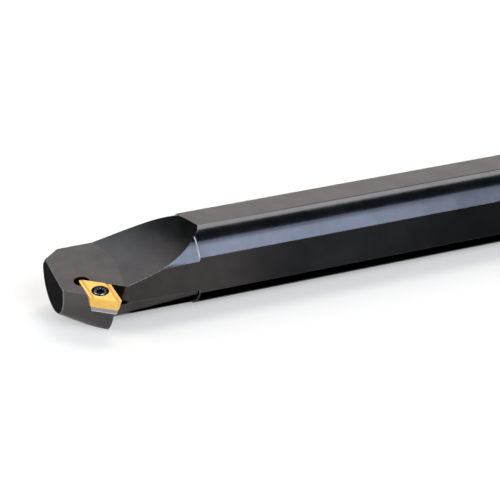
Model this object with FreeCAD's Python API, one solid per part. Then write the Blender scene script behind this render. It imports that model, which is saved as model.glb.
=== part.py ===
import FreeCAD, Part
import math
import os

# Boring bar for back boring: a round steel shank with flats, a slimmer neck and a
# head that carries a screwed-on rhombic insert over a seat plate.
# The bar lies along X with its head towards -X, its cutting side towards -Y and its
# rake face up.  The origin is the centre of the rear end face.  Sizes are in mm.

Vector = FreeCAD.Vector
UP = Vector(0, 0, 1)

# Shank
OVERALL_LENGTH = 250.0
SHANK_DIAMETER = 32.0
HEIGHT_OVER_FLATS = 30.0
SIDE_FLAT_DISTANCE = 14.5
REAR_CHAMFER = 1.5
CENTRE_DRILL_DIAMETER = 3.15
CENTRE_DRILL_DEPTH = 3.5
CENTRE_CONE_DIAMETER = 6.7
CENTRE_CONE_HALF_ANGLE = 30.0

# Neck
NECK_LENGTH = 48.0
SHOULDER_CHAMFER = 0.4
NECK_REAR_DIAMETER = 31.0
NECK_FRONT_DIAMETER = 30.4
RELIEF_CURVE_RADIUS = 500.0
RELIEF_ROLL_ANGLE = 32.0
RELIEF_CREST = 15.55

# Head
FACE_RADIUS = 11.2
FACE_CHAMFER = 0.25
FACE_CENTRE_Y = 1.5
FACE_CENTRE_Z = -0.3
FLANGE_RADIUS = 19.8
FLANGE_EDGE_FROM_END = 15.1
FLANGE_BACK_LEAN = 2.0
CORNER_BEVEL_SIDE = 9.8
CORNER_BEVEL_LENGTH = 5.8
CORNER_BEVEL_DEPTH = 5.0
CORNER_BEVEL_LEAN = 32.0

# Rake face and the scoop behind it
TIP_REACH = 22.0
TIP_FROM_END = 17.0
TIP_HEIGHT = 0.0
RAKE_TILT = 8.0
APPROACH_ANGLE = 92.0
SCOOP_CENTRE_FROM_END = -2.4
SCOOP_CENTRE_SIDE = -17.1
SCOOP_CENTRE_HEIGHT = 76.4
SCOOP_DISC_RADIUS = 9.0
SCOOP_CORNER_RADIUS = 78.5
SCOOP_LEAN_ENDWAYS = -14.5
SCOOP_LEAN_SIDEWAYS = 6.3

# Insert
INSCRIBED_CIRCLE = 9.525
INSERT_CORNER_ANGLE = 55.0
INSERT_THICKNESS = 3.97
INSERT_CLEARANCE_ANGLE = 7.0
NOSE_RADIUS = 0.8
INSERT_BORE = 4.4
INSERT_BORE_MOUTH = 6.0
BORE_MOUTH_HALF_ANGLE = 30.0
CHIP_GROOVE_WIDTH = 1.3
CHIP_GROOVE_ANGLE = 10.0
CHIP_GROOVE_WALL_ANGLE = 45.0

# Seat plate under the insert
SHIM_THICKNESS = 2.0
SHIM_INSET = 0.1
SHIM_BORE_CLEARANCE = 0.1

# Threaded sleeve that holds the seat plate
SLEEVE_DIAMETER = 5.0
SLEEVE_HEAD_DIAMETER = 6.6
SLEEVE_HEAD_HALF_ANGLE = 45.0
SLEEVE_LENGTH = 4.4
SLEEVE_SINK = 0.15
SLEEVE_HEX = 3.7
SLEEVE_HEX_DEPTH = 2.0

# Insert screw
SCREW_DIAMETER = 3.5
SCREW_LENGTH = 8.2
SCREW_HEAD_SINK = 0.1
SCREW_HEAD_ROUNDING = 0.45
SCREW_POINT = 0.5
LOBE_COUNT = 6
LOBE_CIRCLE = 1.22
LOBE_RADIUS = 0.42
LOBE_SOCKET_DEPTH = 1.5

# Clearances and reliefs
POCKET_CLEARANCE = 0.02
THREAD_CLEARANCE = 0.05
TAP_DRILL_EXTRA = 0.25
CORNER_RELIEF_RADIUS = 2.75
CORNER_RELIEF_OFFSET = 1.95
RELIEF_EXTRA_DEPTH = 0.3

# How far a small cutting form reaches past the face that it cuts, and a length well past
# every face of the bar for the large ones
OVERRUN = 1.0
FAR = 2 * OVERALL_LENGTH


def sine(degrees):
    return math.sin(math.radians(degrees))


def cosine(degrees):
    return math.cos(math.radians(degrees))


def tangent(degrees):
    return math.tan(math.radians(degrees))


HEAD_END_X = -OVERALL_LENGTH
SHANK_RADIUS = SHANK_DIAMETER / 2
FLAT_HEIGHT = HEIGHT_OVER_FLATS / 2
SHOULDER_X = HEAD_END_X + NECK_LENGTH

# Directions in the rake face, as angles from the bar's axis.  The cutting edge faces
# the shank, and the pocket's long wall runs one corner angle away from it.
EDGE_DIRECTION = APPROACH_ANGLE - 180.0
WALL_DIRECTION = EDGE_DIRECTION + INSERT_CORNER_ANGLE
LONG_DIAGONAL_DIRECTION = (EDGE_DIRECTION + WALL_DIRECTION) / 2
HALF_CORNER = INSERT_CORNER_ANGLE / 2
HALF_LONG_DIAGONAL = INSCRIBED_CIRCLE / 2 / sine(HALF_CORNER)

# The nose arc touches the tip's reach sideways and its distance from the head's end
NOSE_CENTRE_U = TIP_FROM_END - NOSE_RADIUS
NOSE_CENTRE_V = NOSE_RADIUS - TIP_REACH / cosine(RAKE_TILT)
NOSE_TO_CENTRE = HALF_LONG_DIAGONAL - NOSE_RADIUS / sine(HALF_CORNER)
INSERT_U = NOSE_CENTRE_U - NOSE_TO_CENTRE * cosine(LONG_DIAGONAL_DIRECTION)
INSERT_V = NOSE_CENTRE_V - NOSE_TO_CENTRE * sine(LONG_DIAGONAL_DIRECTION)
TIP_V = INSERT_V + HALF_LONG_DIAGONAL * sine(LONG_DIAGONAL_DIRECTION)
RAKE_HEIGHT = TIP_HEIGHT - TIP_V * sine(RAKE_TILT)

SEAT_DEPTH = INSERT_THICKNESS + SHIM_THICKNESS
SLEEVE_TOP = -INSERT_THICKNESS - SLEEVE_SINK
SLEEVE_HEAD_HEIGHT = (SLEEVE_HEAD_DIAMETER - SLEEVE_DIAMETER) / 2 / tangent(SLEEVE_HEAD_HALF_ANGLE)
BORE_MOUTH_DEPTH = (INSERT_BORE_MOUTH - INSERT_BORE) / 2 / tangent(BORE_MOUTH_HALF_ANGLE)


def on_rake_face(shape):
    """Place a shape modelled with the rake face as its XY plane on the tilted head."""
    placed = shape.copy()
    tilt = FreeCAD.Rotation(Vector(1, 0, 0), RAKE_TILT)
    rake_frame = FreeCAD.Placement(Vector(HEAD_END_X, 0, RAKE_HEIGHT), tilt)
    placed.Placement = rake_frame.multiply(placed.Placement)
    return placed


def direction(angle):
    return Vector(cosine(angle), sine(angle), 0)


def beyond(point, normal):
    """A large block that fills the side of a plane towards which its normal points."""
    block = Part.makeBox(2 * FAR, 2 * FAR, FAR, Vector(-FAR, -FAR, 0))
    block.Placement = FreeCAD.Placement(point, FreeCAD.Rotation(UP, normal))
    return block


def prism(points, height, depth):
    """A straight prism over a polygon, from a height down through a depth."""
    raised = [Vector(point.x, point.y, height) for point in points]
    outline = Part.makePolygon(raised + raised[:1])
    return Part.Face(outline).extrude(Vector(0, 0, -depth))


def turned(profile, axis_point, axis):
    """A solid of revolution from a closed profile of points."""
    outline = Part.makePolygon(profile + profile[:1])
    return Part.Face(outline).revolve(axis_point, axis, 360)


def insert_corners(inscribed):
    """Corners of the rhombus about the insert's centre: seated, side, active, near."""
    long_half = inscribed / 2 / sine(HALF_CORNER)
    short_half = inscribed / 2 / cosine(HALF_CORNER)
    centre = Vector(INSERT_U, INSERT_V, 0)
    long_way = direction(LONG_DIAGONAL_DIRECTION)
    short_way = direction(LONG_DIAGONAL_DIRECTION + 90)
    return [
        centre - long_way * long_half,
        centre + short_way * short_half,
        centre + long_way * long_half,
        centre - short_way * short_half,
    ]


def rounded_outline(corners, radius, height):
    """A closed wire through the corners, each rounded to the radius, at a height."""
    edges = []
    arcs = []
    count = len(corners)
    for index in range(count):
        corner = corners[index]
        back = (corners[index - 1] - corner).normalize()
        ahead = (corners[(index + 1) % count] - corner).normalize()
        half_angle = back.getAngle(ahead) / 2
        bisector = (back + ahead).normalize()
        centre = corner + bisector * (radius / math.sin(half_angle))
        start = corner + back * (radius / math.tan(half_angle))
        end = corner + ahead * (radius / math.tan(half_angle))
        arcs.append((start, centre - bisector * radius, end))
    lift = Vector(0, 0, height)
    for index in range(count):
        start, middle, end = arcs[index]
        next_start = arcs[(index + 1) % count][0]
        edges.append(Part.Arc(start + lift, middle + lift, end + lift).toShape())
        edges.append(Part.makeLine(end + lift, next_start + lift))
    return Part.Wire(edges)


def tapered_plate(inscribed, top, thickness):
    """A rhombic plate whose sides lean inwards going down at the clearance angle."""
    lower = inscribed - 2 * thickness * tangent(INSERT_CLEARANCE_ANGLE)
    upper_wire = rounded_outline(insert_corners(inscribed), NOSE_RADIUS, top)
    lower_wire = rounded_outline(insert_corners(lower), NOSE_RADIUS, top - thickness)
    return Part.makeLoft([upper_wire, lower_wire], True, True)


def at_insert(shape):
    shape.translate(Vector(INSERT_U, INSERT_V, 0))
    return shape


def hex_prism(across_flats, top, depth):
    corner_radius = across_flats / 2 / cosine(30)
    corners = [direction(60 * step) * corner_radius for step in range(6)]
    return prism(corners, top, depth)


def chip_groove(start, end, inward):
    """A shallow groove behind a cutting edge, falling away from it to a short wall."""
    along = (end - start).normalize()
    floor_depth = CHIP_GROOVE_WIDTH * tangent(CHIP_GROOVE_ANGLE)
    wall_run = floor_depth / tangent(CHIP_GROOVE_WALL_ANGLE)
    section = [
        (-OVERRUN, OVERRUN * tangent(CHIP_GROOVE_ANGLE)),
        (CHIP_GROOVE_WIDTH, -floor_depth),
        (CHIP_GROOVE_WIDTH + wall_run, 0),
        (CHIP_GROOVE_WIDTH + wall_run, OVERRUN),
        (-OVERRUN, OVERRUN),
    ]
    lead = along * INSCRIBED_CIRCLE
    points = [start - lead + inward * across + UP * height for across, height in section]
    face = Part.Face(Part.makePolygon(points + points[:1]))
    return face.extrude(end - start + lead * 2)


def make_insert():
    """The rhombic insert, with its screw hole and a chip groove along each long edge."""
    body = tapered_plate(INSCRIBED_CIRCLE, 0, INSERT_THICKNESS)
    bore_radius = INSERT_BORE / 2
    mouth_radius = INSERT_BORE_MOUTH / 2
    bore_foot = Vector(0, 0, -INSERT_THICKNESS - OVERRUN)
    mouth_foot = Vector(0, 0, -BORE_MOUTH_DEPTH)
    bore = Part.makeCylinder(bore_radius, INSERT_THICKNESS + 2 * OVERRUN, bore_foot)
    mouth = Part.makeCone(bore_radius, mouth_radius, BORE_MOUTH_DEPTH, mouth_foot)
    body = body.cut(at_insert(bore.fuse(mouth)))
    seated, side, active, near = insert_corners(INSCRIBED_CIRCLE)
    inward = direction(EDGE_DIRECTION - 90)
    body = body.cut(chip_groove(side, active, inward))
    body = body.cut(chip_groove(near, seated, inward * -1))
    return body


def make_shim():
    """The hard seat plate under the insert, sunk for the sleeve's head."""
    under_insert = INSCRIBED_CIRCLE - 2 * INSERT_THICKNESS * tangent(INSERT_CLEARANCE_ANGLE)
    plate = tapered_plate(under_insert - 2 * SHIM_INSET, -INSERT_THICKNESS, SHIM_THICKNESS)
    bore_radius = SLEEVE_DIAMETER / 2 + SHIM_BORE_CLEARANCE
    mouth_radius = SLEEVE_HEAD_DIAMETER / 2 + SHIM_BORE_CLEARANCE
    bore = Part.makeCylinder(bore_radius, SEAT_DEPTH + OVERRUN, Vector(0, 0, -SEAT_DEPTH - OVERRUN))
    seat_foot = Vector(0, 0, SLEEVE_TOP - SLEEVE_HEAD_HEIGHT)
    seat = Part.makeCone(bore_radius, mouth_radius, SLEEVE_HEAD_HEIGHT, seat_foot)
    step = Part.makeCylinder(mouth_radius, SLEEVE_SINK + OVERRUN, Vector(0, 0, SLEEVE_TOP))
    return plate.cut(at_insert(bore.fuse([seat, step])))


def make_shim_screw():
    """The threaded sleeve: its head holds the seat plate and its bore takes the screw."""
    radius = SLEEVE_DIAMETER / 2
    head_radius = SLEEVE_HEAD_DIAMETER / 2
    sleeve_foot = Vector(0, 0, SLEEVE_TOP - SLEEVE_LENGTH)
    head_foot = Vector(0, 0, SLEEVE_TOP - SLEEVE_HEAD_HEIGHT)
    body = Part.makeCylinder(radius, SLEEVE_LENGTH, sleeve_foot)
    head = Part.makeCone(radius, head_radius, SLEEVE_HEAD_HEIGHT, head_foot)
    bore_radius = SCREW_DIAMETER / 2 + THREAD_CLEARANCE
    bore = Part.makeCylinder(bore_radius, SLEEVE_LENGTH + 2 * OVERRUN, sleeve_foot - UP * OVERRUN)
    socket = hex_prism(SLEEVE_HEX, SLEEVE_TOP + OVERRUN, SLEEVE_HEX_DEPTH + OVERRUN)
    return at_insert(body.fuse(head).cut(bore.fuse(socket)))


def make_insert_screw():
    """The insert screw, with a conical, rounded head and a six-lobed socket."""
    top = -SCREW_HEAD_SINK
    point = top - SCREW_LENGTH
    radius = SCREW_DIAMETER / 2
    head_radius = INSERT_BORE_MOUTH / 2 - SCREW_HEAD_SINK * tangent(BORE_MOUTH_HALF_ANGLE)
    cone_depth = (head_radius - radius) / tangent(BORE_MOUTH_HALF_ANGLE)
    profile = [
        Vector(0, 0, top),
        Vector(head_radius, 0, top),
        Vector(radius, 0, top - cone_depth),
        Vector(radius, 0, point + SCREW_POINT),
        Vector(radius - SCREW_POINT, 0, point),
        Vector(0, 0, point),
    ]
    body = turned(profile, Vector(0, 0, 0), UP)
    rim = [edge for edge in body.Edges if edge.BoundBox.ZMin > top - SCREW_HEAD_ROUNDING]
    body = body.makeFillet(SCREW_HEAD_ROUNDING, rim)

    cut_height = LOBE_SOCKET_DEPTH + OVERRUN
    foot = Vector(0, 0, top - LOBE_SOCKET_DEPTH)
    socket = Part.makeCylinder(LOBE_CIRCLE, cut_height, foot)
    for step in range(LOBE_COUNT):
        place = foot + direction(360 / LOBE_COUNT * step) * LOBE_CIRCLE
        socket = socket.fuse(Part.makeCylinder(LOBE_RADIUS, cut_height, place))
    return at_insert(body.cut(socket))


def make_shank():
    """The round shank with its rear chamfer and centre hole."""
    along = Vector(1, 0, 0)
    profile = [
        Vector(SHOULDER_X, 0, 0),
        Vector(SHOULDER_X, 0, SHANK_RADIUS - SHOULDER_CHAMFER),
        Vector(SHOULDER_X + SHOULDER_CHAMFER, 0, SHANK_RADIUS),
        Vector(-REAR_CHAMFER, 0, SHANK_RADIUS),
        Vector(0, 0, SHANK_RADIUS - REAR_CHAMFER),
        Vector(0, 0, 0),
    ]
    shank = turned(profile, Vector(0, 0, 0), along)
    cone_depth = (CENTRE_CONE_DIAMETER - CENTRE_DRILL_DIAMETER) / 2 / tangent(CENTRE_CONE_HALF_ANGLE)
    cone = Part.makeCone(
        CENTRE_DRILL_DIAMETER / 2, CENTRE_CONE_DIAMETER / 2, cone_depth, Vector(-cone_depth, 0, 0), along
    )
    drill_depth = cone_depth + CENTRE_DRILL_DEPTH
    drill = Part.makeCylinder(CENTRE_DRILL_DIAMETER / 2, drill_depth, Vector(-drill_depth, 0, 0), along)
    return shank.cut(cone.fuse(drill))


def make_front_cone():
    """The head's slanted cone, from the chamfered end face to the flange's round edge."""
    face_centre = Vector(HEAD_END_X, FACE_CENTRE_Y, FACE_CENTRE_Z)
    edge_centre = Vector(HEAD_END_X + FLANGE_EDGE_FROM_END, 0, 0)
    share = FACE_CHAMFER / FLANGE_EDGE_FROM_END
    rim_centre = face_centre + (edge_centre - face_centre) * share
    rim_radius = FACE_RADIUS + (FLANGE_RADIUS - FACE_RADIUS) * share
    rings = [
        (face_centre, FACE_RADIUS - FACE_CHAMFER),
        (rim_centre, rim_radius),
        (edge_centre, FLANGE_RADIUS),
    ]
    along = Vector(1, 0, 0)
    wires = [Part.Wire(Part.Circle(centre, along, radius).toShape()) for centre, radius in rings]
    return Part.makeLoft(wires, True, True)


def neck_relief_cutter():
    """What is milled off the neck's near lower corner, along a long, shallow curve."""
    outward = Vector(0, -cosine(RELIEF_ROLL_ANGLE), -sine(RELIEF_ROLL_ANGLE))
    start = Vector(SHOULDER_X, 0, 0)
    across = Vector(1, 0, 0).cross(outward)
    centre = start + outward * (RELIEF_CREST - RELIEF_CURVE_RADIUS) - across * FAR / 2
    kept = Part.makeCylinder(RELIEF_CURVE_RADIUS, FAR, centre, across)
    cutter = beyond(start, outward).cut(kept)
    return cutter.cut(beyond(start, Vector(1, 0, 0)))


def make_blank():
    """Shank, neck and near-side flange in one piece, before the head is milled."""
    along = Vector(1, 0, 0)
    neck = Part.makeCone(
        NECK_FRONT_DIAMETER / 2, NECK_REAR_DIAMETER / 2, NECK_LENGTH, Vector(HEAD_END_X, 0, 0), along
    )
    neck.rotate(Vector(0, 0, 0), along, 180)
    front_cone = make_front_cone()
    waste = Part.makeCylinder(2 * FLANGE_RADIUS, FLANGE_EDGE_FROM_END, Vector(HEAD_END_X, 0, 0), along)
    neck = neck.cut(waste.cut(front_cone))

    bar = make_shank().fuse(neck)
    bar = bar.cut(beyond(Vector(0, 0, FLAT_HEIGHT), UP))
    bar = bar.cut(beyond(Vector(0, -SIDE_FLAT_DISTANCE, 0), Vector(0, -1, 0)))
    bar = bar.cut(neck_relief_cutter())

    flange = front_cone.cut(beyond(Vector(0, 0, 0), Vector(0, 1, 0)))
    back_normal = Vector(cosine(FLANGE_BACK_LEAN), 0, -sine(FLANGE_BACK_LEAN))
    flange_edge = Vector(HEAD_END_X + FLANGE_EDGE_FROM_END, 0, RAKE_HEIGHT - SEAT_DEPTH)
    flange = flange.cut(beyond(flange_edge, back_normal))
    blank = bar.fuse(flange)
    return blank.cut(beyond(Vector(0, 0, -FLAT_HEIGHT), UP * -1))


def rake_cutter():
    """What the rake face and the scoop remove: a bull-nosed form above the rake face."""
    lowest = Vector(0, 0, -SCOOP_CORNER_RADIUS)
    corner_centre = Vector(-SCOOP_DISC_RADIUS, 0, 0)
    rim = corner_centre - Vector(SCOOP_CORNER_RADIUS, 0, 0)
    middle = corner_centre - Vector(sine(45), 0, cosine(45)) * SCOOP_CORNER_RADIUS
    edges = [
        Part.makeLine(Vector(0, 0, 0), lowest),
        Part.makeLine(lowest, corner_centre + lowest),
        Part.Arc(corner_centre + lowest, middle, rim).toShape(),
        Part.makeLine(rim, Vector(0, 0, 0)),
    ]
    form = Part.Face(Part.Wire(edges)).revolve(Vector(0, 0, 0), UP, 360)
    lean = FreeCAD.Rotation(Vector(1, 0, 0), SCOOP_LEAN_SIDEWAYS)
    lean = lean.multiply(FreeCAD.Rotation(Vector(0, 1, 0), SCOOP_LEAN_ENDWAYS))
    centre = Vector(HEAD_END_X + SCOOP_CENTRE_FROM_END, SCOOP_CENTRE_SIDE, SCOOP_CENTRE_HEIGHT)
    form.Placement = FreeCAD.Placement(centre, lean)
    return form.common(on_rake_face(beyond(Vector(0, 0, 0), UP)))


def pocket_cutter():
    """The insert's pocket: two walls at the clearance angle, a floor, a corner relief."""
    corner = insert_corners(INSCRIBED_CIRCLE + 2 * POCKET_CLEARANCE)[0]
    pocket = beyond(corner - UP * SEAT_DEPTH, UP)
    for inward in (direction(WALL_DIRECTION - 90), direction(EDGE_DIRECTION + 90)):
        leaning = inward * cosine(INSERT_CLEARANCE_ANGLE) + UP * sine(INSERT_CLEARANCE_ANGLE)
        pocket = pocket.common(beyond(corner, leaning))
    relief_depth = SEAT_DEPTH + RELIEF_EXTRA_DEPTH
    relief_centre = corner + direction(LONG_DIAGONAL_DIRECTION) * CORNER_RELIEF_OFFSET
    relief = Part.makeCylinder(CORNER_RELIEF_RADIUS, 2 * relief_depth, relief_centre - UP * relief_depth)
    tapped = Part.makeCylinder(
        SLEEVE_DIAMETER / 2 + THREAD_CLEARANCE,
        SLEEVE_LENGTH + TAP_DRILL_EXTRA,
        Vector(INSERT_U, INSERT_V, SLEEVE_TOP - SLEEVE_LENGTH - TAP_DRILL_EXTRA),
    )
    return on_rake_face(pocket.fuse([relief, tapped]))


def corner_bevel():
    """The slanted cut that takes off the head's far upper corner."""
    foot = on_rake_face(Part.Vertex(0, CORNER_BEVEL_SIDE, 0)).Point
    run = Vector(CORNER_BEVEL_LENGTH, CORNER_BEVEL_DEPTH, 0).normalize()
    outward = Vector(-run.y, run.x, 0)
    normal = outward * cosine(CORNER_BEVEL_LEAN) + UP * sine(CORNER_BEVEL_LEAN)
    return beyond(foot, normal)


def rake_edge_chamfer():
    """The slanted cut that breaks the edge between the rake face and the end face."""
    return on_rake_face(beyond(Vector(FACE_CHAMFER, 0, 0), Vector(-1, 0, 1)))


def make_bar_body():
    """The bar itself: one piece of steel, turned and then milled."""
    body = make_blank().cut(corner_bevel())
    body = body.cut(rake_cutter())
    body = body.cut(rake_edge_chamfer())
    body = body.cut(pocket_cutter())
    return body.removeSplitter()


def save(name, shape):
    solids = shape.Solids
    assert len(solids) == 1, name + " must be one solid"
    assert solids[0].isValid(), name + " must be a valid solid"
    solids[0].exportStep("parts/" + name + ".step")


def main():
    os.makedirs("parts", exist_ok=True)
    save("bar_body", make_bar_body())
    save("shim", on_rake_face(make_shim()))
    save("shim_screw", on_rake_face(make_shim_screw()))
    save("insert", on_rake_face(make_insert()))
    save("insert_screw", on_rake_face(make_insert_screw()))


main()
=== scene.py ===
"""Looks of a back boring bar: black oxide steel, a gold coated insert on a grey seat plate,
and the studio it is photographed in.  Lengths are in metres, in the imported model's frame."""

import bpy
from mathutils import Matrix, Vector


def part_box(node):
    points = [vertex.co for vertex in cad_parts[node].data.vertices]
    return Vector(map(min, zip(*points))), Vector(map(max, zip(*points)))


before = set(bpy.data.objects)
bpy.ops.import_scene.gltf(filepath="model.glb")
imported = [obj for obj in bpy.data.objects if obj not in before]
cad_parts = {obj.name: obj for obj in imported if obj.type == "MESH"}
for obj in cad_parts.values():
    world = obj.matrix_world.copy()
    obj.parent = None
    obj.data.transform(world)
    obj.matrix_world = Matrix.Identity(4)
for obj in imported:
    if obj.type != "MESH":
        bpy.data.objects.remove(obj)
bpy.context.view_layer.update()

import math

import bmesh
import bpy
from bpy.props import FloatProperty, FloatVectorProperty, PointerProperty
from mathutils import Matrix, Vector

bl_info = {
    "name": "Back Boring Bar",
    "version": (1, 0, 0),
    "blender": (4, 5, 0),
    "location": "View3D > Sidebar > Boring Bar",
    "description": "Finishes a boring bar, its insert and screws, and lights them",
    "category": "Object",
}

MM = 0.001
BLACK = (0.0, 0.0, 0.0)
WHITE = (1.0, 1.0, 1.0)
BAR_LOW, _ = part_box("bar_body")
FLOOR_HEIGHT = BAR_LOW.z - 0.05 * MM

# Measures of the bar that its finish follows: shoulder, radii of neck and shank, flats
SHOULDER_X = -202.0 * MM
NECK_FRONT_RADIUS = 15.2 * MM
NECK_REAR_RADIUS = 15.5 * MM
SHANK_RADIUS = 16.0 * MM
FLAT_HEIGHT = 15.0 * MM
SIDE_FLAT = 14.5 * MM

# The rake face: tilted about X, and the pocket that is sunk into it
RAKE_TILT = math.radians(8.0)
RAKE_HEIGHT = 3.19 * MM
RAKE_TURN = Matrix.Rotation(RAKE_TILT, 3, "X")
RAKE_PLACE = Vector((BAR_LOW.x, 0.0, RAKE_HEIGHT))
INSERT_PLACE = RAKE_PLACE + RAKE_TURN @ Vector((11.974, -13.947, 0.0)) * MM
INSERT_MOUTH_RADIUS = 3.08 * MM
POCKET_CORNER = (6.874 * MM, -4.933 * MM)
POCKET_WALLS = (-123.0, 2.0)
POCKET_LEAN = math.radians(7.0)
POCKET_DEPTH = 5.97 * MM
CORNER_HOLE = RAKE_PLACE + RAKE_TURN @ Vector((7.83, -6.63, 0.0)) * MM
CORNER_HOLE_RADIUS = 2.75 * MM

# The form that cut the scoop turned about this leaning axis
SCOOP_CENTRE = Vector((-252.4, -17.1, 76.4)) * MM
SCOOP_TURN = (
    Matrix.Rotation(math.radians(6.3), 3, "X") @ Matrix.Rotation(math.radians(-14.5), 3, "Y")
)

# Ranges of X over which painted reflection and shade on the oxide change, and how much of it is
# left or reached at the end
SIDE_REFLECTION_FADES = (-198 * MM, -166 * MM)
SIDE_SHADE_GROWS = (-150 * MM, -85 * MM)
SIDE_SHADE_SHARE = 0.48
POCKET_SHADE_STEP = (-232.5 * MM, -231.5 * MM)
POCKET_SHADE_DROP = 0.6 * MM
CREASE_DEEPENS = (-195 * MM, -155 * MM)
CREASE_SHARE = 0.55
SCOOP_END_DARKENS = (-213 * MM, -202 * MM)
SCOOP_END_SHARE = 0.5
FAR_EDGE_DARKENS = (-236 * MM, -230 * MM)
FAR_EDGE_SHARES = (0.15, 0.65)
NECK_SHADE_STARTS = (-229 * MM, -225 * MM)
NECK_SHADE_SHARES = (0.15, 0.93)
SHANK_SHADE_SHARE = 0.9

# Ranges of Y in which the scoop turns bluer, and the far side begins
SCOOP_BLUES = (-8 * MM, 9 * MM)
FAR_SIDE_BEGINS = (3 * MM, 5 * MM)

# The painted shade under the neck starts lower towards the head, by this slope from this X
NECK_SHADE_SLOPE = 0.13
NECK_SHADE_X = -209 * MM
NECK_SHADE_HEIGHTS = (-7.4 * MM, -9.0 * MM)

# The camera of the photograph: where it stands, and its picture's directions
CAMERA_PLACE = Vector((-0.4271, -0.5930, 0.3253))
CAMERA_AZIMUTH = math.radians(22.864)
CAMERA_DIP = math.radians(26.936)
SENSOR_WIDTH = 36.0

# The point of the bar that the lamps are aimed at
LIT_POINT = Vector((-0.19, 0.0, 0.0))

# Distances over which the floor fades to white, and its glow for the camera near and far
FLOOR_FADES = (0.6, 1.8)
FLOOR_GLOW = (0.32, 1.0)

# Heights of the sky between which white turns into the cool dark ceiling
HORIZON = (0.18, 0.45)
CEILING_COLOUR = (0.85, 1.04, 1.12, 1.0)


def grey(level):
    return (level, level, level)


def colour_property(name, description, default):
    return FloatVectorProperty(
        name=name,
        description=description,
        subtype="COLOR",
        size=3,
        min=0.0,
        max=1.0,
        default=default,
    )


def length_property(name, description, default, minimum):
    return FloatProperty(
        name=name,
        description=description,
        subtype="DISTANCE",
        unit="LENGTH",
        default=default,
        min=minimum,
    )


def light_property(name, description, default):
    return FloatProperty(name=name, description=description, default=default, min=0.0)


class BarFinish(bpy.types.PropertyGroup):
    """Colours and surface values of the bar and of the pieces in its head."""

    turned: colour_property(
        "Turned steel", "Black oxide on the round faces", (0.050, 0.0535, 0.0645)
    )
    milled: colour_property(
        "Milled steel", "Greyer black oxide on the milled faces", (0.089, 0.0815, 0.080)
    )
    scoop: colour_property(
        "Scoop", "Bluer oxide at the far side of the scoop", (0.095, 0.096, 0.0985)
    )
    side: colour_property(
        "Side flat", "Black oxide on the ground side flat", (0.0190, 0.0195, 0.0210)
    )
    # Paler side flat near the head: a painted reflection.
    side_painted_reflection: colour_property(
        "Side flat near the head", "Paler oxide there", (0.047, 0.043, 0.043)
    )
    # The end face's dark tone is partly a dull finish and partly painted shade.
    end: colour_property("End face", "Dull oxide on the end face", (0.018, 0.019, 0.019))
    # Dark steel in the pocket and in the mouth of the insert's bore: painted shade.
    pocket: colour_property("Pocket", "Oily steel inside the pocket", (0.012, 0.012, 0.012))
    # Worn steel on sharp edges, also the colour of painted highlights there and on the screw.
    worn: colour_property(
        "Worn edge", "Steel that shows along sharp edges", (0.33, 0.33, 0.355)
    )
    # Painted highlight on the shoulder's chamfer.
    chamfer_highlight: colour_property(
        "Bare steel", "Bright steel of the shoulder's chamfer", (0.14, 0.14, 0.155)
    )
    gold: colour_property("Gold coat", "Coating of the insert", (0.85, 0.52, 0.118))
    gold_deep: colour_property("Deep gold", "Darker clouds in the coating", (0.81, 0.46, 0.085))
    # Darker gold on the walls of the chip grooves: painted shade.
    gold_groove_shade: colour_property("Groove gold", "Coating in the chip grooves", (0.66, 0.30, 0.045))
    carbide: colour_property("Carbide", "Ground carbide of the seat plate", (0.36, 0.345, 0.37))
    # Painted highlight along the seat plate's edges and bottom.
    carbide_highlight: colour_property(
        "Carbide edge", "Bright edges of the seat plate", (0.90, 0.88, 0.90)
    )
    screw: colour_property("Screw", "Blackened screw steel", (0.014, 0.014, 0.016))
    edge_width: length_property(
        "Edge width", "Width over which sharp edges are rounded and worn", 0.28 * MM, 0.0
    )
    tool_pitch: length_property(
        "Tool mark pitch",
        "Spacing of the fine marks that cutting left on the steel",
        0.25 * MM,
        0.01 * MM,
    )


class BarStudio(bpy.types.PropertyGroup):
    """The camera, the floor and the lamps."""

    lens: FloatProperty(
        name="Lens",
        description="Focal length",
        subtype="DISTANCE_CAMERA",
        default=145.99,
        min=1.0,
    )
    floor_side: length_property("Floor side", "Side of the floor", 12.0, 1.0)
    floor_colour: colour_property("Floor", "Plain pale floor", (0.70, 0.69, 0.675))
    lamp_distance: length_property("Lamp distance", "From bar to lamps", 2.5, 0.5)
    strip_light: light_property("Strip light", "Brightness of the strips above", 5.4)
    front_light: light_property("Front light", "Brightness of the front soft boxes", 2.6)
    back_light: light_property("Back light", "Brightness of the back panels", 1.45)
    end_light: light_property("End light", "Brightness of the panel off the head's end", 4.0)
    side_light: light_property(
        "Side light", "Brightness of the panels at the head's sides", 1.3
    )
    ceiling: light_property("Ceiling", "Brightness of the dark ceiling", 0.09)


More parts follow.
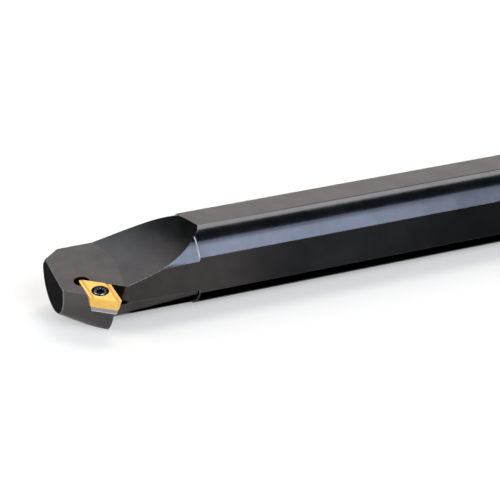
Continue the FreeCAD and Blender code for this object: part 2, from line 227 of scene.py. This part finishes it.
class Shading:
    """A material's node tree, built from left to right."""

    def __init__(self, name):
        self.material = bpy.data.materials.new(name)
        self.material.use_nodes = True
        self.tree = self.material.node_tree
        self.shader = self.tree.nodes["Principled BSDF"]
        coordinates = self.add("ShaderNodeTexCoord").outputs
        self.place = coordinates["Object"]
        self.facing = coordinates["Normal"]

    def add(self, kind, **settings):
        node = self.tree.nodes.new(kind)
        for setting, value in settings.items():
            setattr(node, setting, value)
        return node

    def link(self, output, socket):
        self.tree.links.new(output, socket)

    def feed(self, socket, value):
        """Link an output to a socket, or set the socket to a plain value."""
        if isinstance(value, bpy.types.NodeSocket):
            self.link(value, socket)
        else:
            socket.default_value = value

    def put(self, name, value):
        """Feed one of the shader's own sockets."""
        self.feed(self.shader.inputs[name], value)

    def math(self, operation, first, second):
        node = self.add("ShaderNodeMath", operation=operation)
        self.feed(node.inputs[0], first)
        self.feed(node.inputs[1], second)
        return node.outputs[0]

    def product(self, first, *others):
        for other in others:
            first = self.math("MULTIPLY", first, other)
        return first

    def largest(self, first, *others):
        for other in others:
            first = self.math("MAXIMUM", first, other)
        return first

    def opposite(self, mask):
        """1 where a mask is 0, and 0 where it is 1."""
        return self.math("SUBTRACT", 1.0, mask)

    def stretched(self, scale):
        """Object coordinates scaled by a factor along each axis."""
        node = self.add("ShaderNodeMapping")
        self.link(self.place, node.inputs["Vector"])
        node.inputs["Scale"].default_value = scale
        return node.outputs["Vector"]

    def noise(self, cell, detail=3.0, roughness=0.5, vector=None):
        """Noise whose features are about one cell across, from 0 to 1."""
        node = self.add("ShaderNodeTexNoise")
        self.link(vector or self.place, node.inputs["Vector"])
        node.inputs["Scale"].default_value = 1.0 / cell
        node.inputs["Detail"].default_value = detail
        node.inputs["Roughness"].default_value = roughness
        return node.outputs["Fac"]

    def spread(self, value, low, high, new_low=0.0, new_high=1.0, curve="SMOOTHSTEP"):
        """Map a range of a value onto a new range, and hold it beyond its ends."""
        node = self.add("ShaderNodeMapRange", interpolation_type=curve)
        self.link(value, node.inputs["Value"])
        node.inputs["From Min"].default_value = low
        node.inputs["From Max"].default_value = high
        node.inputs["To Min"].default_value = new_low
        node.inputs["To Max"].default_value = new_high
        return node.outputs["Result"]

    def blend(self, factor, first, second, blend_type="MIX"):
        """Mix two colours, each an output or a plain colour."""
        node = self.add("ShaderNodeMix", data_type="RGBA", blend_type=blend_type)
        self.feed(node.inputs["Factor"], factor)
        for socket, value in ((node.inputs["A"], first), (node.inputs["B"], second)):
            plain = not isinstance(value, bpy.types.NodeSocket)
            self.feed(socket, (*value, 1.0) if plain else value)
        return node.outputs["Result"]

    def split(self, vector):
        node = self.add("ShaderNodeSeparateXYZ")
        self.link(vector, node.inputs[0])
        return node.outputs

    def within(self, value, low, high, soft):
        """1 where a value is between two limits, with soft ends."""
        above = self.spread(value, low - soft, low)
        below = self.spread(value, high, high + soft, 1.0, 0.0)
        return self.product(above, below)

    def beyond(self, point, normal):
        """Distance past a plane, on the side that its normal points to."""
        node = self.add("ShaderNodeVectorMath", operation="DOT_PRODUCT")
        self.link(self.place, node.inputs[0])
        node.inputs[1].default_value = normal
        return self.math("SUBTRACT", node.outputs["Value"], point.dot(normal))

    def away(self, scale, centre=None, turn=None):
        """Distance from a point, with each axis weighed by a factor, in a turned frame."""
        node = self.add("ShaderNodeMapping", vector_type="TEXTURE")
        self.link(self.place, node.inputs["Vector"])
        if centre is not None:
            node.inputs["Location"].default_value = centre
            node.inputs["Rotation"].default_value = turn.to_euler()
        weigh = self.add("ShaderNodeVectorMath", operation="MULTIPLY")
        self.link(node.outputs["Vector"], weigh.inputs[0])
        weigh.inputs[1].default_value = scale
        length = self.add("ShaderNodeVectorMath", operation="LENGTH")
        self.link(weigh.outputs["Vector"], length.inputs[0])
        return length.outputs["Value"]

    def bump(self, height, distance, under):
        """The normal under, disturbed by a height field of a given depth."""
        node = self.add("ShaderNodeBump")
        node.inputs["Strength"].default_value = 1.0
        node.inputs["Distance"].default_value = distance
        self.link(height, node.inputs["Height"])
        self.link(under, node.inputs["Normal"])
        return node.outputs["Normal"]

    def rounded(self, width):
        """The normal as if sharp edges were rounded, and a mask that is 1 along them."""
        rounded = self.add("ShaderNodeBevel", samples=8)
        rounded.inputs["Radius"].default_value = width
        true_normal = self.add("ShaderNodeNewGeometry").outputs["Normal"]
        dot = self.add("ShaderNodeVectorMath", operation="DOT_PRODUCT")
        self.link(rounded.outputs["Normal"], dot.inputs[0])
        self.link(true_normal, dot.inputs[1])
        return rounded.outputs["Normal"], self.spread(dot.outputs["Value"], 0.9995, 0.94)


class BarShading(Shading):
    """The bar's material, with the coordinates that its finish follows."""

    def __init__(self, name):
        super().__init__(name)
        self.x, self.y, self.z = self.split(self.place)
        self.facing_x, _, self.facing_z = self.split(self.facing)
        self.depth = below_rake(self)


def below_rake(look):
    """Depth under the plane of the rake face and the insert's top."""
    return look.beyond(RAKE_PLACE, RAKE_TURN @ Vector((0.0, 0.0, -1.0)))


def in_pocket(look):
    """1 on the walls and the floor of the insert's pocket, and just under its mouth; towards the
    shank it reaches below the floor, where painted shade runs down past it.
    """
    under_rake = look.spread(look.depth, 0.04 * MM, 0.08 * MM)
    drop = look.spread(look.x, *POCKET_SHADE_STEP, 0.0, POCKET_SHADE_DROP)
    lowered = look.math("SUBTRACT", look.depth, drop)
    over_lip = look.spread(lowered, POCKET_DEPTH + 0.05 * MM, POCKET_DEPTH + 0.35 * MM, 1.0, 0.0)
    mask = look.product(under_rake, over_lip)
    corner = RAKE_PLACE + RAKE_TURN @ Vector((*POCKET_CORNER, 0.0))
    for angle in POCKET_WALLS:
        lean = Matrix.Rotation(math.radians(angle), 3, "Z") @ Matrix.Rotation(-POCKET_LEAN, 3, "Y")
        wall = RAKE_TURN @ lean @ Vector((1.0, 0.0, 0.0))
        inside = look.spread(look.beyond(corner, wall), -0.06 * MM, -0.02 * MM)
        mask = look.product(mask, inside)
    return mask


def lit_pocket_wall(look):
    """1 on the outermost strip of the pocket's walls, above its floor, which the pocket's painted
    shade leaves out.
    """
    leaning = look.math("ADD", look.y, look.product(look.z, 0.18))
    return look.product(
        look.spread(leaning, -13.65 * MM, -14.05 * MM),
        look.spread(look.facing_z, 0.8, 0.5, 0.0, 0.85),
        look.spread(look.depth, POCKET_DEPTH - 0.7 * MM, POCKET_DEPTH - 0.2 * MM, 1.0, 0.0),
    )


def on_round(look):
    """1 on the turned neck and shank, 0 on their flats and on the head."""
    neck = look.spread(
        look.x, BAR_LOW.x, SHOULDER_X, NECK_FRONT_RADIUS, NECK_REAR_RADIUS, curve="LINEAR"
    )
    on_shank = look.math("GREATER_THAN", look.x, SHOULDER_X)
    step = look.product(on_shank, SHANK_RADIUS - NECK_REAR_RADIUS)
    nominal = look.math("ADD", neck, step)
    depth = look.math("SUBTRACT", nominal, look.away((0.0, 1.0, 1.0)))
    mask = look.within(depth, -0.6 * MM, 0.10 * MM, 0.04 * MM)
    for height in (look.z, look.product(look.z, -1.0)):
        below_flat = look.spread(
            height, FLAT_HEIGHT - 0.02 * MM, FLAT_HEIGHT - 0.01 * MM, 1.0, 0.0
        )
        mask = look.product(mask, below_flat)
    inner = look.spread(look.y, -SIDE_FLAT + 0.01 * MM, -SIDE_FLAT + 0.02 * MM)
    return look.product(mask, inner, look.within(look.facing_x, -0.2, 0.2, 0.1))


def on_side_flat(look):
    """1 in the plane of the side flat."""
    return look.product(
        look.spread(look.y, -SIDE_FLAT + 0.02 * MM, -SIDE_FLAT + 0.01 * MM),
        look.spread(look.y, -SIDE_FLAT - 0.02 * MM, -SIDE_FLAT - 0.01 * MM),
    )


def on_far_side(look):
    """1 on the far side of the neck and the head."""
    return look.product(
        look.spread(look.y, *FAR_SIDE_BEGINS),
        look.spread(look.x, SHOULDER_X - 1.5 * MM, SHOULDER_X - 2.5 * MM),
    )


def shoulder_chamfer_highlight(look):
    """1 on the shoulder's chamfer, where a painted highlight fades towards the underside."""
    return look.product(
        look.within(look.x, SHOULDER_X + 0.05 * MM, SHOULDER_X + 0.40 * MM, 0.05 * MM),
        look.spread(look.away((0.0, 1.0, 1.0)), NECK_REAR_RADIUS - 0.05 * MM, NECK_REAR_RADIUS),
        look.spread(look.z, -4 * MM, 9 * MM),
        look.spread(look.facing_x, -0.3, -0.5),
    )


def under_neck(look):
    """1 on the neck and the head where they face down."""
    return look.product(
        look.spread(look.x, SHOULDER_X - 0.5 * MM, SHOULDER_X - 1.0 * MM),
        look.spread(look.facing_z, -0.28, -0.33),
    )


def neck_shade(look, neck_below):
    """How black the painted shade under the neck is: it starts lower towards the head, and the
    bottom flat has none."""
    slope = look.product(look.math("SUBTRACT", look.x, NECK_SHADE_X), NECK_SHADE_SLOPE)
    slanted = look.math("SUBTRACT", look.z, slope)
    return look.product(
        neck_below,
        look.spread(slanted, *NECK_SHADE_HEIGHTS, *NECK_SHADE_SHARES),
        look.spread(look.facing_z, -0.97, -0.93),
        look.spread(look.x, *NECK_SHADE_STARTS),
    )


def painted_shade_places(look, turned, edges, far_side, neck_shade_mask):
    """How far painted shade darkens the oxide: a dark line along the top flat's near edge, the far
    edges of the neck, the end of the scoop, and the underside of shank and neck."""
    crease = look.product(
        look.within(look.y, -5.82 * MM, -5.36 * MM, 0.05 * MM),
        look.spread(look.z, 14.80 * MM, 14.88 * MM),
        look.spread(look.x, *CREASE_DEEPENS, 0.0, CREASE_SHARE),
    )
    far_share = look.spread(look.x, *FAR_EDGE_DARKENS, *FAR_EDGE_SHARES)
    far_edges = look.product(edges, far_side, far_share)
    scoop_end = look.product(
        look.spread(look.facing_x, -0.25, -0.4),
        look.spread(look.x, *SCOOP_END_DARKENS, 0.0, SCOOP_END_SHARE),
    )
    under_shank = look.product(
        turned, look.spread(look.facing_z, -0.30, -0.42), SHANK_SHADE_SHARE
    )
    return look.largest(crease, far_edges, scoop_end, under_shank, neck_shade_mask)


def worn_and_lit_edges(look, edges, pocket, far_side):
    """Where sharp edges are worn, in patches, as painted highlights too: none in the pocket, round
    its corner hole, along the top flat or on the far side, little low down, and a painted bright
    line round the end face's edge."""
    patchy = look.spread(look.noise(1.6 * MM, detail=3.0), 0.30, 0.62, 0.4, 1.0)
    from_hole = look.away((1.0, 1.0, 0.0), CORNER_HOLE, RAKE_TURN)
    flat_edge = look.product(
        look.spread(look.z, 14.5 * MM, 14.7 * MM),
        look.spread(look.y, -4.9 * MM, -5.2 * MM),
        look.spread(look.x, -199.5 * MM, -198 * MM),
    )
    worn = look.product(
        edges,
        patchy,
        look.opposite(pocket),
        look.spread(from_hole, CORNER_HOLE_RADIUS + 0.3 * MM, CORNER_HOLE_RADIUS + 0.6 * MM),
        look.spread(look.z, -7.5 * MM, -5.5 * MM, 0.2, 1.0),
        look.opposite(flat_edge),
        look.opposite(far_side),
    )
    rim_highlight = look.within(look.x, BAR_LOW.x + 0.06 * MM, BAR_LOW.x + 0.30 * MM, 0.05 * MM)
    return look.largest(worn, look.product(rim_highlight, 0.30))


def oxide_tone(look, finish, turned, end_face, pocket_shade):
    """The colour of the oxide: by face, across the scoop by place, along the side flat with painted
    reflection near the head and painted shade towards the rear, and with painted shade in the
    pocket.
    """
    # Painted reflection and shade: the side flat is paler near the head and darkens towards the
    # rear.
    pale = look.spread(look.x, *SIDE_REFLECTION_FADES, 1.0, 0.0)
    side = look.blend(pale, finish.side, finish.side_painted_reflection)
    side = look.blend(look.spread(look.x, *SIDE_SHADE_GROWS, 1.0, SIDE_SHADE_SHARE), BLACK, side)
    far_scoop = look.product(
        look.spread(look.facing_x, -0.05, -0.2),
        look.spread(look.facing_z, 0.4, 0.6),
        look.spread(look.y, *SCOOP_BLUES),
    )
    tone = look.blend(turned, finish.milled, finish.turned)
    tone = look.blend(far_scoop, tone, finish.scoop)
    tone = look.blend(on_side_flat(look), tone, side)
    tone = look.blend(end_face, tone, finish.end)
    return look.blend(pocket_shade, tone, finish.pocket)


def tool_marks(look, finish, turned):
    """Fine marks round the turned faces, and swept about the scoop's axis on the milled ones."""
    around = look.noise(
        finish.tool_pitch, detail=2.0, vector=look.stretched((1.0, 0.02, 0.02))
    )
    swept = look.add("ShaderNodeCombineXYZ")
    look.link(look.away((1.0, 1.0, 0.0), SCOOP_CENTRE, SCOOP_TURN), swept.inputs["X"])
    swept = look.noise(1.5 * finish.tool_pitch, detail=2.0, vector=swept.outputs[0])
    marks = look.add("ShaderNodeMix", data_type="FLOAT")
    look.link(turned, marks.inputs["Factor"])
    look.link(swept, marks.inputs["A"])
    look.link(around, marks.inputs["B"])
    return marks.outputs["Result"]


def black_oxide(finish):
    """Blackened steel: turned where it is round, milled where it is flat, worn and with painted
    highlights at sharp edges, and with painted shade in hollows and underneath.
    """
    look = BarShading("black_oxide_steel")
    cloud = look.noise(9 * MM, detail=4.0, roughness=0.6)
    speckle = look.noise(0.35 * MM, detail=2.0)
    grain = look.noise(0.12 * MM, detail=2.0)
    rounded, edges = look.rounded(finish.edge_width)
    neck_below = under_neck(look)
    neck_shade_mask = neck_shade(look, neck_below)
    # Under the neck the round takes the milled tone: a painted reflection that lightens the strip
    # below the side flat.
    turned = look.product(on_round(look), look.opposite(neck_below))
    end_face = look.spread(look.x, BAR_LOW.x + 0.03 * MM, BAR_LOW.x + 0.01 * MM)
    far_side = on_far_side(look)
    pocket = in_pocket(look)
    # Painted shade in the pocket, left off the outer strip of its walls.
    pocket_shade = look.product(pocket, look.opposite(lit_pocket_wall(look)))

    tone = oxide_tone(look, finish, turned, end_face, pocket_shade)
    tone = look.blend(1.0, tone, look.spread(cloud, 0.2, 0.8, 0.82, 1.12), "MULTIPLY")
    # Painted shade darkens the oxide; worn edges and the shoulder's chamfer add painted highlights.
    tone = look.blend(painted_shade_places(look, turned, edges, far_side, neck_shade_mask), tone, BLACK)
    tone = look.blend(worn_and_lit_edges(look, edges, pocket, far_side), tone, finish.worn)
    tone = look.blend(shoulder_chamfer_highlight(look), tone, finish.chamfer_highlight)
    look.put("Base Color", tone)
    look.put("Metallic", 1.0)

    glint = look.blend(turned, grey(0.65), grey(0.28))
    glint = look.blend(end_face, glint, grey(0.38))
    # The specular tint drops in the pocket's painted shade and goes black in the neck's, so both
    # stay dark at grazing angles.
    glint = look.blend(pocket_shade, glint, grey(0.12))
    look.put("Specular Tint", look.blend(neck_shade_mask, glint, BLACK))

    rough = look.spread(cloud, 0.25, 0.75, 0.19, 0.25)
    rough = look.math("SUBTRACT", rough, look.product(turned, 0.06))
    rough = look.math("ADD", rough, look.spread(speckle, 0.3, 0.7, -0.02, 0.02))
    rough = look.largest(rough, look.product(end_face, 0.50), look.product(pocket, 0.40))
    look.put("Roughness", rough)

    normal = look.bump(tool_marks(look, finish, turned), 0.0010 * MM, under=rounded)
    look.put("Normal", look.bump(grain, 0.0012 * MM, under=normal))
    return look.material


def gold_coat(finish):
    """Titanium nitride coating: satin gold with slightly deeper clouds and pressed grain, painted
    highlights along its edges, and painted shade on the walls of its chip grooves and in the mouth
    of its bore.
    """
    look = Shading("gold_coated_carbide")
    cloud = look.noise(2.5 * MM, detail=3.0)
    rounded, edges = look.rounded(0.10 * MM)
    # Painted highlight: the edges take a brighter gold.
    bright = tuple(min(1.0, 1.08 * part) for part in finish.gold)
    # Painted shade: the walls of the chip grooves take a darker gold.
    groove_shade = look.product(
        look.spread(below_rake(look), 0.10 * MM, 0.20 * MM),
        look.spread(look.split(look.facing)[2], 0.4, 0.6),
    )
    radius = look.away((1.0, 1.0, 0.0), INSERT_PLACE, RAKE_TURN)
    # Painted shade in the mouth of the bore, in the pocket's dark tone.
    bore_shade = look.spread(radius, INSERT_MOUTH_RADIUS + 0.02 * MM, INSERT_MOUTH_RADIUS - 0.04 * MM)
    tone = look.blend(look.spread(cloud, 0.35, 0.7), finish.gold, finish.gold_deep)
    tone = look.blend(edges, tone, bright)
    tone = look.blend(groove_shade, tone, finish.gold_groove_shade)
    look.put("Base Color", look.blend(bore_shade, tone, finish.pocket))
    look.put("Metallic", 0.5)
    look.put("Roughness", look.spread(cloud, 0.3, 0.7, 0.32, 0.42))
    grain = look.noise(0.05 * MM, detail=2.0)
    look.put("Normal", look.bump(grain, 0.0012 * MM, under=rounded))
    return look.material


def ground_carbide(finish):
    """Bare ground carbide: grey metal with fine parallel grinding lines, and painted highlights
    along its edges and its bottom.
    """
    look = Shading("ground_carbide")
    lines = look.noise(0.09 * MM, detail=2.0, vector=look.stretched((1.0, 0.05, 1.0)))
    dark = tuple(0.75 * part for part in finish.carbide)
    rounded, edges = look.rounded(0.30 * MM)
    # Painted highlight: a bright band along the bottom of the seat plate, as along its edges.
    foot_top, foot_low = POCKET_DEPTH - 0.36 * MM, POCKET_DEPTH - 0.26 * MM
    foot_highlight = look.spread(below_rake(look), foot_top, foot_low, 0.0, 0.5)
    tone = look.blend(look.spread(lines, 0.3, 0.7), dark, finish.carbide)
    look.put("Base Color", look.blend(look.largest(edges, foot_highlight), tone, finish.carbide_highlight))
    look.put("Metallic", 0.9)
    look.put("Roughness", look.spread(lines, 0.3, 0.7, 0.28, 0.38))
    look.put("Normal", look.bump(lines, 0.0008 * MM, under=rounded))
    return look.material


def screw_black(finish):
    """Oiled black screw steel, with a bright ring painted round the socket as a highlight."""
    look = Shading("blackened_screw_steel")
    cloud = look.noise(0.8 * MM, detail=3.0)
    rounded, edges = look.rounded(0.12 * MM)
    radius = look.away((1.0, 1.0, 0.0), INSERT_PLACE, RAKE_TURN)
    # A painted highlight: a bright ring round the socket, and bright edges in the worn colour.
    ring_highlight = look.within(radius, 1.9 * MM, 2.2 * MM, 0.12 * MM)
    tone = look.blend(look.spread(cloud, 0.5, 0.8), finish.screw, finish.milled)
    tone = look.blend(edges, tone, finish.worn)
    look.put("Base Color", look.blend(ring_highlight, tone, finish.worn))
    look.put("Metallic", 1.0)
    look.put("Specular Tint", (*grey(0.3), 1.0))
    look.put("Roughness", look.spread(cloud, 0.3, 0.7, 0.14, 0.22))
    dished = look.spread(radius, 1.85 * MM, 2.3 * MM, 1.0, 0.0)
    normal = look.bump(dished, 0.35 * MM, under=rounded)
    grain = look.noise(0.06 * MM)
    look.put("Normal", look.bump(grain, 0.001 * MM, under=normal))
    return look.material


def coat(node_name, material):
    """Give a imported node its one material."""
    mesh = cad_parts[node_name].data
    mesh.materials.clear()
    mesh.materials.append(material)


def new_object(name, data):
    made = bpy.data.objects.new(name, data)
    bpy.context.scene.collection.objects.link(made)
    return made


def paper_white(studio):
    """The floor's surface: pale paper that fades to the white of the background."""
    look = Shading("pale_floor")
    paper = look.noise(4 * MM, detail=2.0)
    shade = look.spread(paper, 0.3, 0.7, 0.985, 1.0)
    darker = tuple(0.9 * part for part in studio.floor_colour)
    tint = look.blend(shade, darker, studio.floor_colour)
    distant = look.spread(look.away((1.0, 1.0, 0.0)), *FLOOR_FADES)
    look.put("Base Color", look.blend(distant, tint, BLACK))
    look.put("Roughness", 0.9)
    look.put("Specular IOR Level", 0.0)
    rays = look.add("ShaderNodeLightPath").outputs
    seen = look.largest(
        rays["Is Camera Ray"], rays["Is Glossy Ray"], rays["Is Transmission Ray"]
    )
    look.put("Emission Color", (*WHITE, 1.0))
    glow = look.spread(distant, 0.0, 1.0, *FLOOR_GLOW)
    look.put("Emission Strength", look.product(seen, glow))
    return look.material


def lay_floor(studio):
    grid = bmesh.new()
    bmesh.ops.create_grid(grid, x_segments=1, y_segments=1, size=studio.floor_side / 2)
    bmesh.ops.translate(grid, verts=grid.verts, vec=(0.0, 0.0, FLOOR_HEIGHT))
    mesh = bpy.data.meshes.new("floor")
    grid.to_mesh(mesh)
    grid.free()
    mesh.materials.append(paper_white(studio))
    new_object("floor", mesh)


def soft_box(name, swing, lift, half_length, half_width, brightness, tint, distance):
    """A lamp given by the angles at which the bar sees it.

    Swing turns it along the bar, and lift raises it from the near horizon over the top.
    The half length and half width are the angles that it spans along and across the bar.
    """
    swing, lift = math.radians(swing), math.radians(lift)
    away = Vector(
        (math.sin(swing), -math.cos(swing) * math.cos(lift), math.cos(swing) * math.sin(lift))
    )
    lamp = bpy.data.lights.new(name, "AREA")
    lamp.shape = "RECTANGLE"
    lamp.size = 2 * distance * math.tan(math.radians(half_length))
    lamp.size_y = 2 * distance * math.tan(math.radians(half_width))
    lamp.energy = brightness * math.pi * lamp.size * lamp.size_y
    lamp.color = tint
    holder = new_object(name, lamp)
    across = away.cross(Vector((1.0, 0.0, 0.0))).normalized()
    along = across.cross(away)
    turn = Matrix((along, across, away)).transposed().to_4x4()
    holder.matrix_world = Matrix.Translation(LIT_POINT + away * distance) @ turn
    holder.visible_camera = False


def hang_lamps(studio):
    """Each row is a name, the four angles of a soft box, its brightness and its tint."""
    strip, front, back = studio.strip_light, studio.front_light, studio.back_light
    end, side = studio.end_light, studio.side_light
    cool, cooler = (0.99, 1.0, 1.04), (0.93, 1.0, 1.12)
    for row in (
        ("strip_lamp", 21, 103, 15, 8, strip, (1.10, 1.01, 0.88)),
        ("strip_lamp_head", -54, 103, 15, 8, 0.6 * strip, WHITE),
        ("front_lamp", 20, 39, 15, 22, front, cooler),
        ("front_lamp_low", 12, 35, 15, 18, front, cooler),
        ("back_lamp", 26, 138, 17, 20, back, (1.02, 1.0, 1.0)),
        ("back_lamp_low", 26, 156, 17, 10, 0.42 * back, (1.06, 1.0, 0.95)),
        ("back_lamp_side", -0.5, 134, 9.5, 24, 0.43 * back, cool),
        ("back_lamp_far", -4.5, 134, 13.5, 24, 0.42 * back, cool),
        ("end_lamp", -68, 45, 9, 20, end, WHITE),
        ("side_lamp_back", -52, 150, 16, 14, side, WHITE),
        ("side_lamp_front", -46, 33, 12, 14, side, WHITE),
    ):
        soft_box(*row, distance=studio.lamp_distance)


def fill_world(studio):
    """A white horizon under a darker ceiling, the same for every ray."""
    world = bpy.data.worlds.new("studio")
    bpy.context.scene.world = world
    world.use_nodes = True
    tree = world.node_tree
    sky = tree.nodes["Background"]
    place = tree.nodes.new("ShaderNodeTexCoord")
    parts = tree.nodes.new("ShaderNodeSeparateXYZ")
    tree.links.new(place.outputs["Generated"], parts.inputs[0])
    height = tree.nodes.new("ShaderNodeMapRange")
    height.interpolation_type = "SMOOTHSTEP"
    height.inputs["From Min"].default_value, height.inputs["From Max"].default_value = HORIZON
    height.inputs["To Min"].default_value = 1.0
    height.inputs["To Max"].default_value = studio.ceiling
    tree.links.new(parts.outputs["Z"], height.inputs["Value"])
    tree.links.new(height.outputs["Result"], sky.inputs["Strength"])
    cool = tree.nodes.new("ShaderNodeMix")
    cool.data_type = "RGBA"
    cool.inputs["A"].default_value = CEILING_COLOUR
    cool.inputs["B"].default_value = (*WHITE, 1.0)
    tree.links.new(height.outputs["Result"], cool.inputs["Factor"])
    tree.links.new(cool.outputs["Result"], sky.inputs["Color"])


def set_camera(studio):
    lens = bpy.data.cameras.new("photo_camera")
    lens.sensor_width = SENSOR_WIDTH
    lens.lens = studio.lens
    lens.clip_start = 0.01
    view = Vector(
        (
            math.sin(CAMERA_AZIMUTH) * math.cos(CAMERA_DIP),
            math.cos(CAMERA_AZIMUTH) * math.cos(CAMERA_DIP),
            -math.sin(CAMERA_DIP),
        )
    )
    camera = new_object("photo_camera", lens)
    turn = view.to_track_quat("-Z", "Y").to_matrix().to_4x4()
    camera.matrix_world = Matrix.Translation(CAMERA_PLACE) @ turn
    bpy.context.scene.camera = camera


class BORINGBAR_OT_finish_bar(bpy.types.Operator):
    """Give the bar its black oxide finish"""

    bl_idname = "boring_bar.finish_bar"
    bl_label = "Finish Bar"

    def execute(self, context):
        coat("bar_body", black_oxide(context.scene.bar_finish))
        return {"FINISHED"}


class BORINGBAR_OT_finish_insert(bpy.types.Operator):
    """Give the insert its gold coating"""

    bl_idname = "boring_bar.finish_insert"
    bl_label = "Finish Insert"

    def execute(self, context):
        coat("insert", gold_coat(context.scene.bar_finish))
        return {"FINISHED"}


class BORINGBAR_OT_finish_seat_plate(bpy.types.Operator):
    """Give the seat plate its ground carbide finish"""

    bl_idname = "boring_bar.finish_seat_plate"
    bl_label = "Finish Seat Plate"

    def execute(self, context):
        coat("shim", ground_carbide(context.scene.bar_finish))
        return {"FINISHED"}


class BORINGBAR_OT_finish_screws(bpy.types.Operator):
    """Blacken the insert screw and the sleeve that it turns in"""

    bl_idname = "boring_bar.finish_screws"
    bl_label = "Finish Screws"

    def execute(self, context):
        black = screw_black(context.scene.bar_finish)
        coat("insert_screw", black)
        coat("shim_screw", black)
        return {"FINISHED"}


class BORINGBAR_OT_build_studio(bpy.types.Operator):
    """Set up the floor, the lamps, the background and the camera"""

    bl_idname = "boring_bar.build_studio"
    bl_label = "Build Studio"

    def execute(self, context):
        studio = context.scene.bar_studio
        lay_floor(studio)
        hang_lamps(studio)
        fill_world(studio)
        set_camera(studio)
        context.scene.view_settings.view_transform = "Standard"
        return {"FINISHED"}


class BORINGBAR_PT_panel(bpy.types.Panel):
    """The steps that finish and light the bar"""

    bl_idname = "BORINGBAR_PT_panel"
    bl_label = "Boring Bar"
    bl_space_type = "VIEW_3D"
    bl_region_type = "UI"
    bl_category = "Boring Bar"

    def draw(self, context):
        for step in STEPS:
            self.layout.operator(step.bl_idname)
        for group in (context.scene.bar_finish, context.scene.bar_studio):
            box = self.layout.box()
            for name in group.__annotations__:
                box.prop(group, name)


STEPS = (
    BORINGBAR_OT_finish_bar,
    BORINGBAR_OT_finish_insert,
    BORINGBAR_OT_finish_seat_plate,
    BORINGBAR_OT_finish_screws,
    BORINGBAR_OT_build_studio,
)
CLASSES = (BarFinish, BarStudio, *STEPS, BORINGBAR_PT_panel)


def register():
    for part in CLASSES:
        bpy.utils.register_class(part)
    bpy.types.Scene.bar_finish = PointerProperty(type=BarFinish)
    bpy.types.Scene.bar_studio = PointerProperty(type=BarStudio)


def unregister():
    del bpy.types.Scene.bar_studio
    del bpy.types.Scene.bar_finish
    for part in reversed(CLASSES):
        bpy.utils.unregister_class(part)


def main():
    register()
    bpy.ops.boring_bar.finish_bar()
    bpy.ops.boring_bar.finish_insert()
    bpy.ops.boring_bar.finish_seat_plate()
    bpy.ops.boring_bar.finish_screws()
    bpy.ops.boring_bar.build_studio()


if __name__ == "__main__":
    main()
